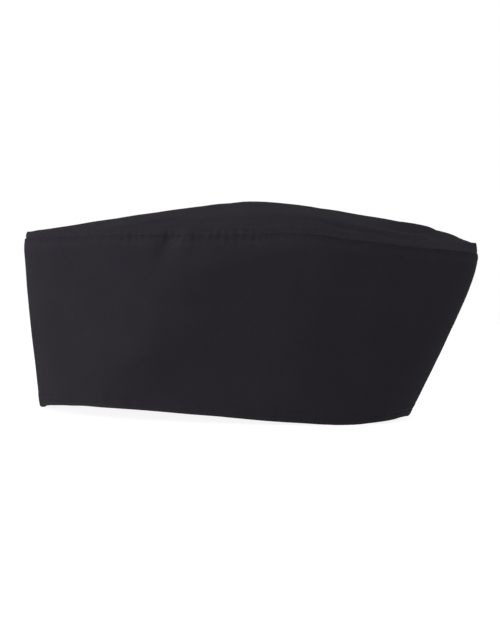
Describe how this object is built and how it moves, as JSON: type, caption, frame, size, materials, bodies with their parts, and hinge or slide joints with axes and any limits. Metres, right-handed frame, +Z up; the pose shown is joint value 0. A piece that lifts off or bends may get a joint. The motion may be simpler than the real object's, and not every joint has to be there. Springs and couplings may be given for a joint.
{
  "type": "chef skull cap",
  "caption": "Brimless cloth cap with a tall band that slants in to the rim and a low domed crown sewn on it, worn in kitchens to hold the hair.",
  "frame": {"origin": "under the middle of the cap's length and width, on the surface that its rim rests on", "axes": "+X towards the back of the cap, +Y towards the side on the wearer's right hand, +Z up"},
  "size_m": [0.2383, 0.1874, 0.1111],
  "materials": {
    "crown_cloth": "matte near-black cotton and polyester twill",
    "band_cloth": "matte near-black cotton and polyester twill",
    "inside_cloth": "matte near-black twill, wrong side out, with overlocked cut edges"
  },
  "bodies": {
    "root": {"crown": "crown_cloth", "side_band": "band_cloth", "hem": "inside_cloth", "crown_seam_allowance": "inside_cloth", "back_seam_allowance": "inside_cloth"}
  },
  "joints": []
}
